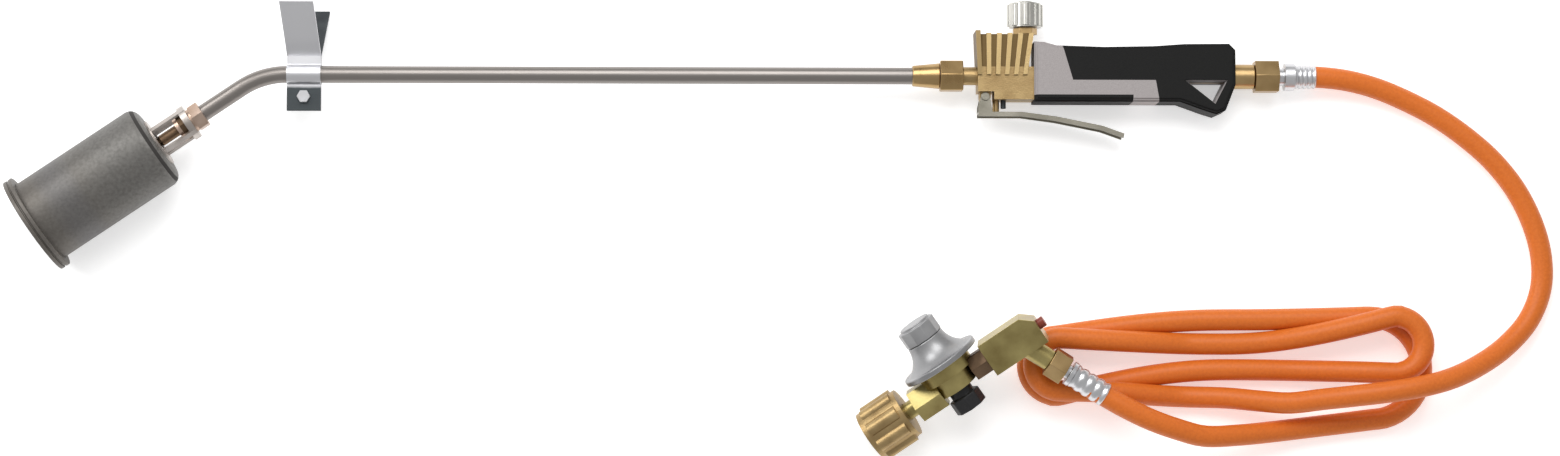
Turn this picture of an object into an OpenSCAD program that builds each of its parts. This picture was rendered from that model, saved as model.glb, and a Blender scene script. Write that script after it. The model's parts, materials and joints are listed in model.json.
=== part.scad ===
// Propane torch for roofing work, laid on its side, with its stand, hose and regulator.
// Millimetres. +X runs from the burner to the hose end, +Z is up from the floor.
// The origin is on the floor, under the middle of the torch without its hose.

/* [Burner] */
// Outside radius of the burner cup
cup_r = 32; // [27:0.5:39]
// Length of the burner cup
cup_len = 110; // [90:1:135]
// Sheet thickness of the burner cup
cup_wall = 1.5; // [1:0.1:2.5]
// Radius of the rounded back edge of the cup
shoulder_r = 8; // [4:0.5:10]
// How far the mouth rim stands out from the cup
rim_out = 6; // [4:0.5:8]
// Length of the mouth rim along the cup
rim_len = 7; // [5:0.5:10]
// Radius of the air hole in the back of the cup
air_r = 11; // [9:0.5:12]
// Distance from the corner of the neck to the back of the cup
cup_start = 91.5; // [88:0.5:110]
// Distance from the back of the cup to the flame holder
holder_gap = 16; // [12:1:30]

/* [Neck tube] */
// Outside radius of the neck tube
tube_r = 6.3; // [5:0.1:7]
// Wall of the neck tube
tube_wall = 1; // [0.8:0.1:1.6]
// Length from the valve body to the corner of the neck
neck_len = 528.5; // [400:1:700]
// Angle by which the neck bends towards the burner
bend_deg = 34; // [20:1:45]
// Centre line radius of the bend
bend_r = 60; // [45:1:80]

/* [Stand] */
// Distance from the corner of the neck back to the middle of the stand
stand_back = 31; // [28:1:120]
// Width of the stand along the tube
stand_w = 25; // [18:1:35]
// Sheet thickness of the stand
stand_t = 1.5; // [1:0.1:2.5]
// Height of a stand leg above the tube's centre line
stand_rise = 51; // [40:1:60]
// How far each leg leans along the tube at its tip
stand_lean = 3; // [0:0.5:6]
// Length of the clamping tab under the tube
stand_tab = 27; // [22:1:35]
// Radius of the clamping bolt
bolt_r = 2.5; // [2:0.25:3]

/* [Valve] */
// Length of the valve body along the tube
body_len = 41.5; // [38:0.5:50]
// Half of the width of the valve body across the tube
body_half = 11.5; // [10:0.5:13]
// How far the valve body reaches below the tube's centre line
body_drop = 18.3; // [17:0.1:20]
// Height of the ribbed housing above the tube's centre line
housing_top = 30.8; // [27:0.1:36]
// Number of ribs on the ribbed housing
rib_count = 6; // [4:1:8]
// Radius of the flow knob
knob_r = 13.5; // [11:0.5:16]
// Height of the flow knob
knob_h = 18; // [14:0.5:22]
// Radius of the needle stem
stem_r = 3; // [2.5:0.1:3.5]
// Radius of the push pin
push_r = 2.5; // [2:0.1:2.8]

/* [Lever] */
// Half of the width of the lever
lever_half = 8.4; // [8:0.1:10]
// Sheet thickness of the lever
lever_t = 1.6; // [1.2:0.1:2]
// Radius of the lever's pin
lever_pin_r = 1.8; // [1.5:0.1:2.2]

/* [Handle] */
// Length of the handle
handle_len = 149.2; // [140:0.1:170]
// Half of the thickness of the handle
handle_half = 16.5; // [15:0.5:19]
// Thickness of the soft grip over the inner shell
grip_t = 2.2; // [1.5:0.1:3]
// Wall of the handle shells
shell_t = 2.6; // [2:0.1:3.2]
// Radius of the gas tube inside the handle
gas_r = 5; // [4:0.5:6]

/* [Connections] */
// Width across the flats of the brass nuts
nut_af = 22; // [21:0.5:26]
// Outside radius of the hose
hose_r = 8; // [7:0.1:9]
// Wall of the crimped ferrules
ferrule_wall = 1; // [0.6:0.1:1.6]
// Clearance round a piece that turns inside another
turn_gap = 0.4; // [0.3:0.05:0.6]
// Running clearance of pins and stems in their bores
run_gap = 0.05; // [0.03:0.01:0.09]
// Gap at the seat of a piece that is fixed in or on another
seat_gap = 0.04; // [0.02:0.01:0.08]

/* [Regulator] */
// Outside radius over the lobes of the cylinder nut
lobe_r = 22; // [20:0.5:24]
// Length of the cylinder nut
wheel_len = 33; // [28:1:36]
// Radius of the thread in the cylinder nut
inlet_r = 10.9; // [10:0.1:12]
// Radius of the bonnet's flange
bonnet_r = 30; // [26:0.5:33]
// Radius of the adjusting knob
adjust_r = 15; // [12:0.5:18]
// Length of the hose safety valve's block
block_len = 45; // [42:1:50]

/* [Hidden] */
$fn = 64;
eps = 0.01;

// How the torch lies: the mouth rim and the back of the handle both touch the floor.
rim_r = cup_r + rim_out;
floor_gap = 0.05;
mouth_s = cup_start + cup_len;
mouth_x = -neck_len - mouth_s * cos(bend_deg);
mouth_y = -mouth_s * sin(bend_deg);
rim_back_x = mouth_x + rim_len * cos(bend_deg);
handle_x = body_len;
handle_end = handle_x + handle_len;
face_inset = 2.5;
lie_deg = asin((rim_r - handle_half - floor_gap) / (handle_end - face_inset - rim_back_x));
lift = rim_r * sqrt(pow(cos(lie_deg), 2) + pow(sin(bend_deg) * sin(lie_deg), 2)) + rim_back_x * sin(lie_deg);

// Hose connection behind the handle, as distances from the valve body's front face.
nipple_len = 15.3;
nut_x = handle_end + nipple_len + 0.3;
nut_len = 17.7;
tail_x = nut_x + 12;
stem_end = nut_x + nut_len + 4.5;
ring_end = stem_end + 7.5;
ferrule_len = 15.5;
ferrule_r = hose_r + ferrule_wall;
hose_end_x = ring_end + ferrule_len;

// Knob on top of the valve.
knob_x = body_len - 5.5;
gland_top = housing_top + 5;
knob_y = gland_top + 0.3;
knob_top = knob_y + knob_h;
cap_h = 1.5;

// Place of the torch, so that the origin is under the middle of it.
low_x = mouth_x * cos(lie_deg) - rim_r * sqrt(pow(sin(bend_deg) * cos(lie_deg), 2) + pow(sin(lie_deg), 2));
high_x = hose_end_x * cos(lie_deg) + ferrule_r * sin(lie_deg);
low_y = mouth_y - rim_r * cos(bend_deg);
high_y = knob_top + cap_h;
torch_x = -(low_x + high_x) / 2;
torch_y = -(low_y + high_y) / 2;

// Jet and cage behind the burner, as distances from the corner of the neck.
tube_end_s = cup_start - 31.5;
holder_s = tube_end_s - 8;
holder_end_s = cup_start - 17.5;
holder_r = tube_r + 2.7;
cage_r = air_r + 0.5;
cage_ring_s = cup_start - 29.5;

// Neck union.
union_x = -27.5;
union_len = 17;
collar_x = union_x + 3.5;
spigot_x = collar_x + 3.1;
spigot_r = 9;

// Lever, pivot and push pin.
pivot = [5.7, -16];
push_x = 14;
lever_top = -27.2;
lever_path = [[0.6, -28.9], [32.4, -28.9], [58.3, -32.3], [75.3, -35.7], [92.3, -39.1], [108.6, -44.9]];
seat_y = -10;
chamber_r = 5;

// Stand.
stand_x = -neck_len + stand_back;
fold_y = 14;
stand_reach = lift - stand_x * sin(lie_deg) - 0.35;
leg_angle = atan2(stand_reach - stand_t, stand_rise - fold_y);
leg_len = (stand_rise - fold_y) / cos(leg_angle);
bolt_y = -(stand_tab + tube_r) / 2;

// Handle.
core_half = handle_half - grip_t;
hollow_half = core_half - shell_t;
hook_from = handle_end - 41;
screw_places = [[50.5, 15], [50.5, -11.5], [92, -11.5], [124, -11.5]];

// Regulator: it lies on the lobes of its cylinder nut and on the hank.
reg_heading = 33.7;
reg_pitch = 11;
reg_roll = 9;
reg_at = [166.7, -213.5, lobe_r * cos(reg_pitch) + wheel_len / 2 * sin(reg_pitch) + 0.05];
bonnet_x = 58;
block_x = 88;
block_half = 11.5;
outlet_at = [114, -2];
outlet_turn = -67;
reg_nut_x = 27.3;
reg_tail_x = reg_nut_x + 9;
reg_ring_x = 47;
reg_ferrule_end = 75;

// Hose. The run leaves the handle and lies over the hank, and the end leaves the regulator.
hank_at = [416, -176];
hank_half = 103;
hank_turn_r = 46;
hank_h = 4 * hose_r - 0.5;
neck_r = tube_r + 0.45;
button_x = block_x + block_len;
run_route = [
    [473, 44.5, 15.2], [490, 44, 14.7], [510, 41.5, 13.2], [531, 36, 11], [553, 27, 9], [575, 15.5, 8],
    [597, 0, 8], [617, -18, 8], [634, -40, 8], [646, -65, 8], [652, -90, 8], [651, -114, 8.3],
    [641, -137, 10.5], [623, -156, 16], [602, -170, 24.5], [580, -180, 34], [558, -186, 40],
    [534, -190, 41.5], [509, -193, 39.5], [485, -195.5, 33.5], [462, -198, 26]
];
end_route = [
    [311.5, -185.2, 42.2], [324, -193, 41.3], [340, -202, 41], [358, -210.5, 39], [378, -217.5, 35],
    [399, -222.5, 29]
];
hose_sides = 10;

// ---------------------------------------------------------------- helpers

// Puts pieces drawn round the tube's axis, with x = 0 at the valve body's front face, on the floor.
module torch() {
    translate([torch_x, torch_y, lift]) rotate([0, lie_deg, 0]) children();
}

// A frame whose +Z runs from the corner of the neck along the burner's axis.
module on_burner() {
    torch() translate([-neck_len, 0, 0]) rotate([0, 0, 180 + bend_deg]) rotate([0, 90, 0]) children();
}

// Regulator frame: +X is the flow from the cylinder, +Y points along the bonnet.
module on_regulator() {
    translate(reg_at) rotate([0, 0, reg_heading]) rotate([0, -reg_pitch, 0]) rotate([reg_roll, 0, 0]) children();
}

// Outlet frame of the regulator: +X runs out to the hose.
module on_outlet() {
    on_regulator() translate([outlet_at[0], outlet_at[1], 0]) rotate([0, 0, outlet_turn]) children();
}

// A round bar along X from x0 to x1.
module bar_x(r, x0, x1) {
    translate([x0, 0, 0]) rotate([0, 90, 0]) cylinder(r = r, h = x1 - x0);
}

// A hexagonal bar along X, with its width across the flats and two flats level with Z.
module hex_x(af, x0, x1) {
    translate([x0, 0, 0]) rotate([0, 90, 0]) cylinder(r = af / sqrt(3), h = x1 - x0, $fn = 6);
}

// A hollow round bar along X.
module pipe_x(r, bore, x0, x1) {
    difference() {
        bar_x(r, x0, x1);
        bar_x(bore, x0 - 1, x1 + 1);
    }
}

// A round bar along Y from y0 to y1, at x.
module bar_y(r, x, y0, y1) {
    translate([x, y0, 0]) rotate([-90, 0, 0]) cylinder(r = r, h = y1 - y0);
}

// A body of revolution round an axis along Y, at x, from a profile of radius and height.
module turned_y(x) {
    translate([x, 0, 0]) rotate([-90, 0, 0]) rotate_extrude() children();
}

function unit(v) = v / norm(v);
function cross_frame(dir) = let (side = unit(cross([0, 0, 1], dir))) [side, cross(dir, side)];
function tangent(path, i) = unit(path[min(i + 1, len(path) - 1)] - path[max(i - 1, 0)]);

// Sweeps a round section along a list of points.
module swept_tube(path, r, sides) {
    count = len(path);
    rings = [
        for (i = [0:count - 1])
            let (frame = cross_frame(tangent(path, i)))
            for (k = [0:sides - 1])
                path[i] + r * (cos(360 * k / sides) * frame[0] + sin(360 * k / sides) * frame[1])
    ];
    sides_faces = [
        for (i = [0:count - 2])
            for (k = [0:sides - 1])
                let (a = i * sides + k)
                let (b = i * sides + (k + 1) % sides)
                each [[a, a + sides, b], [b, a + sides, b + sides]]
    ];
    ends = [[for (k = [0:sides - 1]) k], [for (k = [sides - 1:-1:0]) (count - 1) * sides + k]];
    polyhedron(rings, concat(sides_faces, ends), convexity = 10);
}

// A coil spring round +Z, from z = 0 to its length.
module coil_spring(r, wire, length, turns) {
    steps = 14 * turns;
    path = [
        for (i = [0:steps])
            [r * cos(360 * turns * i / steps), r * sin(360 * turns * i / steps),
             wire + (length - 2 * wire) * i / steps]
    ];
    swept_tube(path, wire, 6);
}

// ---------------------------------------------------------------- burner

// Cross section of a cup with a rounded back, for a turned shell.
module cup_profile(r, back, corner, top) {
    translate([0, corner + back]) square([r, top - corner - back]);
    translate([0, back]) square([r - corner, corner + eps]);
    translate([r - corner, corner + back]) circle(corner);
}

module burner_cup() {
    color("dimgray") on_burner() translate([0, 0, cup_start]) difference() {
        rotate_extrude() difference() {
            intersection() {
                cup_profile(cup_r, 0, shoulder_r, cup_len);
                square([cup_r, cup_len]);
            }
            cup_profile(cup_r - cup_wall, cup_wall, shoulder_r - cup_wall, cup_len + 1);
            translate([-cup_r, -1]) square([cup_r, cup_len + 2]);
        }
        translate([0, 0, -1]) cylinder(r = air_r, h = cup_wall + 2);
    }
}

module mouth_rim() {
    groove = 1.2;
    color("dimgray") on_burner() translate([0, 0, mouth_s - rim_len]) rotate_extrude() difference() {
        translate([cup_r + seat_gap, 0]) square([rim_out - seat_gap, rim_len]);
        translate([cup_r + rim_out - groove, rim_len / 2 - groove / 2]) square([groove + 1, groove]);
    }
}

module flame_holder() {
    plate = 2;
    holes = 10;
    hole_r = (cup_r - cup_wall) / 10;
    color("slategray") on_burner() translate([0, 0, cup_start + holder_gap]) difference() {
        cylinder(r = cup_r - cup_wall - seat_gap, h = plate);
        translate([0, 0, -1]) cylinder(r = air_r * 0.8, h = plate + 2);
        for (i = [0:holes - 1])
            rotate(360 * i / holes) translate([cup_r * 0.65, 0, -1]) cylinder(r = hole_r, h = plate + 2);
    }
}

module burner_cage() {
    strap_w = 4;
    strap_t = 2;
    ring_len = 5;
    foot_t = 1.5;
    color("gray") on_burner() {
        translate([0, 0, cage_ring_s]) difference() {
            cylinder(r = cage_r + strap_t, h = ring_len);
            translate([0, 0, -1]) cylinder(r = holder_r + seat_gap, h = ring_len + 2);
        }
        translate([0, 0, cup_start - foot_t - seat_gap]) difference() {
            cylinder(r = cage_r + strap_t + 5, h = foot_t);
            translate([0, 0, -1]) cylinder(r = air_r, h = foot_t + 2);
        }
        for (i = [0:3])
            rotate(45 + 90 * i) translate([cage_r, -strap_w / 2, cage_ring_s])
                cube([strap_t, strap_w, cup_start - cage_ring_s - foot_t / 2]);
    }
}

module cage_nut() {
    nut_h = 4;
    color("saddlebrown") on_burner() translate([0, 0, cage_ring_s + 5 + seat_gap]) difference() {
        cylinder(r = holder_r + 2, h = nut_h, $fn = 6);
        translate([0, 0, -1]) cylinder(r = holder_r + seat_gap, h = nut_h + 2);
    }
}

module jet_holder() {
    color("rosybrown") on_burner() difference() {
        union() {
            translate([0, 0, holder_s]) cylinder(r = holder_r + 1.6, h = tube_end_s - holder_s, $fn = 6);
            translate([0, 0, tube_end_s]) cylinder(r = holder_r, h = holder_end_s - tube_end_s);
        }
        translate([0, 0, holder_s - 1]) cylinder(r = tube_r + seat_gap, h = tube_end_s - holder_s + 1 + seat_gap);
        translate([0, 0, tube_end_s - 1]) cylinder(r = 2, h = holder_end_s);
        translate([0, 0, holder_end_s - 6]) cylinder(r = 3 + seat_gap, h = 7);
    }
}

module jet() {
    tip = 3;
    color("black") on_burner() difference() {
        union() {
            translate([0, 0, holder_end_s - 6 + seat_gap]) cylinder(r = 3, h = 7);
            translate([0, 0, holder_end_s + seat_gap]) cylinder(r = 4.2, h = cup_start - holder_end_s - tip);
            translate([0, 0, cup_start - tip]) cylinder(r1 = 4.2, r2 = 2.6, h = tip - 0.5);
        }
        translate([0, 0, holder_end_s - 7]) cylinder(r = 0.6, h = cup_start);
    }
}

// ---------------------------------------------------------------- neck and stand

module neck_tube() {
    bore = tube_r - tube_wall;
    tangent_len = bend_r * tan(bend_deg / 2);
    lap_deg = 0.5;
    skin = 0.02;
    color("rosybrown") union() {
        torch() pipe_x(tube_r, bore, -neck_len + tangent_len, spigot_x - seat_gap);
        torch() translate([-neck_len + tangent_len, -bend_r, 0]) rotate([0, 0, 90 - lap_deg])
            rotate_extrude(angle = bend_deg + 2 * lap_deg) translate([bend_r, 0]) difference() {
                circle(tube_r - skin);
                circle(bore + skin);
            }
        on_burner() translate([0, 0, tangent_len]) difference() {
            cylinder(r = tube_r, h = tube_end_s - tangent_len);
            translate([0, 0, -1]) cylinder(r = bore, h = tube_end_s);
        }
    }
}

// One half of the stand: a tab, a half clamp round the tube, and a leg that leans out.
module stand_plate() {
    gap = 0.3;
    lap = 0.6;
    intersection() {
        pipe_x(tube_r + stand_t, tube_r + seat_gap, stand_x - stand_w / 2, stand_x + stand_w / 2);
        translate([stand_x - stand_w, -20, gap]) cube([2 * stand_w, 40, 20]);
    }
    translate([stand_x - stand_w / 2, -stand_tab, gap])
        cube([stand_w, stand_tab - tube_r - 0.1, stand_t]);
    translate([stand_x - stand_w / 2, tube_r + 0.1, gap])
        cube([stand_w, fold_y - tube_r + lap, stand_t]);
    translate([stand_x, fold_y, gap]) rotate([leg_angle, 0, 0]) linear_extrude(stand_t)
        polygon([[-stand_w / 2, 0], [stand_w / 2, 0],
                 [stand_w / 2 - stand_lean, leg_len], [-stand_w / 2 - stand_lean, leg_len]]);
}

module bolt_hole() {
    translate([stand_x, bolt_y, -20]) cylinder(r = bolt_r, h = 40);
}

module stand_plate_near() {
    color("gainsboro") torch() difference() {
        stand_plate();
        bolt_hole();
    }
}

module stand_plate_far() {
    color("darkslategray") torch() difference() {
        mirror([0, 0, 1]) mirror([1, 0, 0]) translate([-2 * stand_x, 0, 0]) stand_plate();
        bolt_hole();
    }
}

module stand_bolt() {
    face = 0.3 + stand_t;
    color("silver") torch() translate([stand_x, bolt_y, 0]) {
        translate([0, 0, -face - 5]) cylinder(r = bolt_r - seat_gap, h = 2 * face + 6);
        translate([0, 0, face + seat_gap]) cylinder(r = 2 * bolt_r, h = 3.5, $fn = 6);
    }
}

module stand_nut() {
    face = 0.3 + stand_t;
    color("silver") torch() translate([stand_x, bolt_y, -face - 4 - seat_gap]) difference() {
        cylinder(r = 2 * bolt_r, h = 4, $fn = 6);
        translate([0, 0, -1]) cylinder(r = bolt_r, h = 6);
    }
}

// ---------------------------------------------------------------- neck union

module cone_sleeve() {
    sleeve_len = 20.2;
    color("peru") torch() translate([union_x - 0.3 - sleeve_len, 0, 0]) rotate([0, 90, 0]) difference() {
        cylinder(r1 = tube_r + 1.4, r2 = tube_r + 3.3, h = sleeve_len);
        translate([0, 0, -1]) cylinder(r = tube_r + seat_gap, h = sleeve_len + 2);
    }
}

module tube_collar() {
    color("peru") torch() pipe_x(spigot_r, tube_r + seat_gap, collar_x, spigot_x - seat_gap);
}

module union_nut() {
    color("goldenrod") torch() difference() {
        hex_x(nut_af, union_x, union_x + union_len);
        bar_x(tube_r + turn_gap, union_x - 1, union_x + union_len);
        bar_x(spigot_r + turn_gap, collar_x - 0.3, union_x + union_len + 1);
    }
}

// ---------------------------------------------------------------- valve

module valve_body() {
    step_x = 12;
    step_y = -12.4;
    roof = 6;
    lug_half = 6;
    color("darkkhaki") torch() difference() {
        union() {
            translate([0, step_y, -body_half]) cube([step_x + 1, roof - step_y, 2 * body_half]);
            translate([step_x, -body_drop, -body_half])
                cube([body_len - step_x, roof + body_drop, 2 * body_half]);
            bar_x(neck_r, union_x + union_len - 0.3, 1);
            bar_x(spigot_r, spigot_x, union_x + union_len - 0.3);
            translate([pivot[0], pivot[1], -lug_half]) cylinder(r = 4.2, h = 2 * lug_half);
            translate([pivot[0] - 4.2, pivot[1], -lug_half]) cube([8.4, step_y - pivot[1] + 1, 2 * lug_half]);
        }
        bar_x(3, spigot_x - 1, push_x - 6);
        bar_y(1.5, push_x - 7, seat_y - 2, 0);
        translate([0, seat_y - 1.5, 0]) bar_x(1.2, push_x - 7, push_x);
        bar_x(3, push_x, body_len + 1);
        bar_y(push_r + run_gap, push_x, -body_drop - 1, seat_y);
        bar_y(push_r + 0.7, push_x, seat_y - 3.5, seat_y + 1);
        bar_y(chamber_r, push_x, seat_y, roof + 1);
        bar_y(stem_r + run_gap, knob_x, 0, roof + 1);
        translate([pivot[0], pivot[1], -lug_half - 1]) cylinder(r = lever_pin_r + seat_gap, h = 2 * lug_half + 2);
        bar_y(2 + seat_gap, push_x + 5.5, -body_drop - 1, -body_drop + 6 + seat_gap);
    }
}

module ribbed_housing() {
    rib_w = 3.6;
    core_depth = body_half;
    rib_depth = body_half + 2;
    base = [-0.2, body_len - 4.7];
    top = [-1.7, body_len + 0.2];
    color("goldenrod") torch() difference() {
        union() {
            translate([0, 0, -core_depth]) linear_extrude(2 * core_depth)
                polygon([[base[0] + 1, 0], [base[1] - 1, 0], [top[1] - 1, housing_top - 0.6],
                         [top[0] + 1, housing_top - 0.6]]);
            for (i = [0:rib_count - 1]) {
                share = i / (rib_count - 1);
                x0 = base[0] + share * (base[1] - base[0] - rib_w);
                x1 = top[0] + share * (top[1] - top[0] - rib_w - 0.3);
                height = housing_top + (i == 0 ? 2 : 0);
                translate([0, 0, -rib_depth]) linear_extrude(2 * rib_depth)
                    polygon([[x0, 0], [x0 + rib_w - 0.4, 0], [x1 + rib_w, height], [x1, height]]);
            }
        }
        translate([-5, -1, -body_half - seat_gap]) cube([body_len + 10, 7 + seat_gap, 2 * (body_half + seat_gap)]);
        bar_x(neck_r + seat_gap, -20, 1 + seat_gap);
        bar_y(stem_r + run_gap, knob_x, 0, housing_top + 1);
    }
}

module stem_gland() {
    color("goldenrod") torch() translate([knob_x, housing_top + seat_gap, 0]) rotate([-90, 0, 0]) difference() {
        cylinder(r = 9, h = gland_top - housing_top - seat_gap, $fn = 6);
        translate([0, 0, -1]) cylinder(r = stem_r + run_gap, h = 10);
        translate([0, 0, -1]) cylinder(r = 5, h = 3.2);
    }
}

module stem_seal() {
    color("black") torch() translate([knob_x, housing_top + 0.1, 0]) rotate([-90, 0, 0]) difference() {
        cylinder(r = 5 - seat_gap, h = 2);
        translate([0, 0, -1]) cylinder(r = stem_r + run_gap, h = 4);
    }
}

module needle_stem() {
    tip = 4;
    color("silver") torch() translate([knob_x, 1, 0]) rotate([-90, 0, 0]) {
        cylinder(r1 = 0.8, r2 = stem_r, h = tip);
        translate([0, 0, tip]) cylinder(r = stem_r, h = knob_top - tip - 2);
    }
}

module flow_knob() {
    flutes = 8;
    color("silver") torch() translate([knob_x, knob_y, 0]) rotate([-90, 0, 0]) difference() {
        union() {
            cylinder(r = knob_r - 1.5, h = knob_h);
            for (i = [0:flutes - 1])
                rotate(360 * i / flutes) translate([knob_r - 3.5, 0, 1]) cylinder(r = 3.5, h = knob_h - 2);
        }
        translate([0, 0, -1]) cylinder(r = stem_r + seat_gap, h = knob_h);
    }
}

module knob_cap() {
    color("gray") torch() bar_y(knob_r / 2, knob_x, knob_top + seat_gap, knob_top + cap_h);
}

// ---------------------------------------------------------------- lever

// The lever's outline from above: a band of even thickness along its path.
module lever_band(t) {
    count = len(lever_path);
    upper = [for (p = lever_path) [p[0], lever_top + p[1] - lever_path[0][1]]];
    lower = [for (i = [count - 1:-1:0]) [upper[i][0] - (i > 1 ? 0.2 * t : 0), upper[i][1] - t]];
    polygon(concat(upper, lower));
}

module lever() {
    flange_h = 3.4;
    cheek_top = 3.4;
    color("darkgray") torch() difference() {
        union() {
            translate([0, 0, -lever_half]) linear_extrude(2 * lever_half) lever_band(lever_t);
            for (side = [0, 1])
                mirror([0, 0, side]) translate([0, 0, lever_half - lever_t]) linear_extrude(lever_t) {
                    lever_band(flange_h);
                    translate(pivot) circle(cheek_top);
                    polygon([[lever_path[0][0], lever_top - flange_h], [11.7, lever_top - flange_h],
                             [pivot[0] + cheek_top, pivot[1]], [pivot[0] - cheek_top, pivot[1]],
                             [lever_path[0][0], lever_top + 4]]);
                }
        }
        translate([pivot[0], pivot[1], -lever_half - 1])
            cylinder(r = lever_pin_r + run_gap, h = 2 * lever_half + 2);
    }
}

module lever_pin() {
    head = lever_half + 0.3;
    color("silver") torch() translate([pivot[0], pivot[1], 0]) {
        translate([0, 0, -head]) cylinder(r = lever_pin_r, h = 2 * head);
        for (side = [0, 1])
            mirror([0, 0, side]) translate([0, 0, head]) cylinder(r = lever_pin_r + 1.1, h = 1);
    }
}

module lever_stop() {
    color("dimgray") torch() bar_y(2, push_x + 5.5, lever_top + 3, -body_drop + 6);
}

module push_pin() {
    color("gold") torch() {
        bar_y(push_r, push_x, lever_top + 0.3, seat_y - 3.5);
        bar_y(1.5, push_x, seat_y - 3.5 - eps, seat_y + 3);
    }
}

module poppet_seal() {
    color("black") torch() translate([push_x, seat_y + 0.35, 0]) rotate([-90, 0, 0]) difference() {
        cylinder(r = chamber_r - 0.6, h = 2.2);
        translate([0, 0, -1]) cylinder(r = 1.5 + seat_gap, h = 4);
    }
}

module valve_spring() {
    start = seat_y + 0.35 + 2.25;
    color("lightsteelblue") torch() translate([push_x, start, 0]) rotate([-90, 0, 0])
        coil_spring(3.6, 0.5, 5.9 - start, 6);
}

// ---------------------------------------------------------------- handle

// The handle's side outline, drawn from its front end.
module handle_outline() {
    rear = handle_end;
    polygon([
        [handle_x, 24.6], [handle_x + 7.5, 24.2], [handle_x + 16.8, 21.7], [handle_x + 52, 20.6],
        [handle_x + 89, 21.3], [rear - 37.7, 22.9], [rear - 4.7, 23.2], [rear, 18.5], [rear, -7.2],
        [rear - 7.5, -26.3], [rear - 14.5, -29.4], [rear - 23.5, -26.6], [rear - 41.5, -20.1], [handle_x, -20.1]
    ]);
}

// Everything that the soft black grip covers.
module grip_zone() {
    polygon([
        [handle_x + 15.5, 40], [handle_x + 28.5, -4.2], [handle_x + 89.7, -4.2], [handle_x + 96, -40],
        [handle_end + 20, -40], [handle_end + 20, 40]
    ]);
}

module strip_zone() {
    translate([handle_x - 1, -30]) square([74, 14.8]);
}

module hook_opening(grow) {
    offset(delta = grow)
        polygon([[handle_end - 36.5, -4.6], [handle_end - 7.2, -4.6], [handle_end - 15.7, -21]]);
}

// The handle's outer form with stepped edges, cut to a zone given as the child.
module handle_form() {
    for (step = [[handle_half - 3.4, 0], [handle_half - 1.2, 1], [handle_half, face_inset]])
        linear_extrude(step[0]) intersection() {
            offset(delta = -step[1]) handle_outline();
            children();
        }
}

module handle_core() {
    linear_extrude(core_half - seat_gap) offset(delta = -grip_t - seat_gap) handle_outline();
}

module screw_shanks(r) {
    for (p = screw_places)
        translate([p[0], p[1], -handle_half]) cylinder(r = r, h = handle_half + core_half - 3);
}

module handle_shell() {
    difference() {
        union() {
            handle_form() difference() {
                handle_outline();
                offset(delta = seat_gap) {
                    grip_zone();
                    strip_zone();
                }
            }
            handle_core();
        }
        difference() {
            translate([0, 0, -1]) linear_extrude(hollow_half + 1) intersection() {
                offset(delta = -grip_t - shell_t) handle_outline();
                square([2 * hook_from, 100], center = true);
            }
            for (p = screw_places)
                translate([p[0], p[1], -2]) cylinder(r = 4, h = hollow_half + 3);
        }
        translate([0, 0, -1]) linear_extrude(handle_half + 2) hook_opening(0);
        bar_x(gas_r + seat_gap, handle_x - 1, handle_end + 1);
        translate([handle_x - 1, -50, -1]) cube([1 + seat_gap, 100, handle_half + 2]);
    }
}

module handle_shell_near() {
    color("lightgray") torch() difference() {
        handle_shell();
        screw_shanks(1.6);
    }
}

module handle_shell_far() {
    color("lightgray") torch() difference() {
        mirror([0, 0, 1]) handle_shell();
        screw_shanks(1.6);
        for (p = screw_places)
            translate([p[0], p[1], -handle_half - 1]) cylinder(r = 3, h = 3);
    }
}

module grip() {
    color("black") torch() for (side = [0, 1])
        mirror([0, 0, side]) difference() {
            handle_form() grip_zone();
            translate([0, 0, -1]) linear_extrude(core_half + 1) offset(delta = -grip_t) handle_outline();
            translate([0, 0, -1]) linear_extrude(handle_half + 2) hook_opening(0.6);
            bar_x(gas_r + seat_gap, handle_x, handle_end + 1);
        }
}

module underside_strip() {
    color("black") torch() for (side = [0, 1])
        mirror([0, 0, side]) difference() {
            handle_form() strip_zone();
            translate([0, 0, -1]) linear_extrude(core_half + 1) offset(delta = -grip_t) handle_outline();
        }
}

module handle_screws() {
    color("silver") torch() {
        screw_shanks(1.6 - seat_gap);
        for (p = screw_places)
            translate([p[0], p[1], -handle_half + 0.2]) cylinder(r = 3 - seat_gap, h = 1.8 - seat_gap);
    }
}

module gas_tube() {
    color("peru") torch() pipe_x(gas_r, gas_r - 1.5, body_len + seat_gap, handle_end);
}

// ---------------------------------------------------------------- hose connection

module rear_nipple() {
    color("goldenrod") torch() difference() {
        union() {
            bar_x(9.2, handle_end + seat_gap, nut_x - 0.3);
            bar_x(8, nut_x - 0.3 - eps, tail_x);
        }
        bar_x(3.5, handle_end - 1, tail_x + 1);
    }
}

module hose_nut() {
    lip_x = tail_x + 3;
    color("goldenrod") torch() difference() {
        hex_x(nut_af + 0.6, nut_x, nut_x + nut_len);
        bar_x(8 + turn_gap, nut_x - 1, lip_x);
        bar_x(6.6 + turn_gap, nut_x, nut_x + nut_len + 1);
    }
}

module hose_tail() {
    color("silver") torch() difference() {
        union() {
            bar_x(8, tail_x + seat_gap, tail_x + 2.7);
            bar_x(6.6, tail_x + 1, stem_end + 1);
            bar_x(10.3, stem_end, ring_end);
            bar_x(4.5, ring_end - 1, hose_end_x - 1);
        }
        bar_x(3, tail_x - 1, hose_end_x + 1);
    }
}

module hose_ferrule() {
    color("silver") torch() pipe_x(ferrule_r, hose_r, ring_end + seat_gap, hose_end_x);
}

// ---------------------------------------------------------------- hose

module hose_run() {
    color("darkorange") swept_tube(run_route, hose_r, hose_sides);
}

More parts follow.
